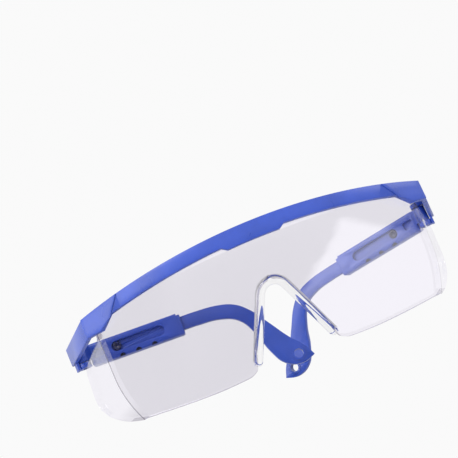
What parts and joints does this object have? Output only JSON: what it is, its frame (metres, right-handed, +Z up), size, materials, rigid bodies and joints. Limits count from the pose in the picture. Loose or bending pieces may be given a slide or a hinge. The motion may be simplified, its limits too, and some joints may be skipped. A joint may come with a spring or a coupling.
{
  "type": "safety goggles",
  "caption": "Clear one-piece wrap lens under an arched blue brow bar, with folding, length-adjustable temples; shields the eyes from splashes and chips.",
  "frame": {"origin": "centre of the bounding box at its lowest plane, under the lens, as worn with the temples at rest", "axes": "+X towards the wearer's left, -Y forward out of the lens, +Z up as worn"},
  "size_m": [0.1498, 0.0996, 0.0474],
  "materials": {
    "bar_plastic": "satin-gloss injection-moulded blue plastic",
    "temple_plastic": "satin-gloss injection-moulded blue plastic",
    "clear_lens": "clear polished polycarbonate",
    "stud_plastic": "glossy dark blue moulded plastic",
    "pin_steel": "plain drawn steel"
  },
  "bodies": {
    "front": {"brow_bar": "bar_plastic", "lens": "clear_lens", "left_hinge_pin": "pin_steel", "right_hinge_pin": "pin_steel"},
    "left_sleeve": {"left_temple_sleeve": "temple_plastic"},
    "left_arm": {"left_temple_arm": "temple_plastic", "left_length_stud": "stud_plastic"},
    "right_sleeve": {"right_temple_sleeve": "temple_plastic"},
    "right_arm": {"right_temple_arm": "temple_plastic", "right_length_stud": "stud_plastic"}
  },
  "joints": [
    {"name": "left_temple_fold", "type": "hinge", "parent": "front", "child": "left_sleeve", "pos_m": [0.0702, 0.0074, 0.03735], "axis": [0, 0, 1], "range_deg": [-60, 25]},
    {"name": "left_arm_slide", "type": "slide", "parent": "left_sleeve", "child": "left_arm", "axis": [-0.8645, 0.4991, -0.0593], "range_m": [0, 0.016]},
    {"name": "right_temple_fold", "type": "hinge", "parent": "front", "child": "right_sleeve", "pos_m": [-0.0702, 0.0074, 0.03735], "axis": [0, 0, 1], "range_deg": [-2, 92]},
    {"name": "right_arm_slide", "type": "slide", "parent": "right_sleeve", "child": "right_arm", "axis": [0.9976, -0.0348, -0.0593], "range_m": [0, 0.016]}
  ]
}
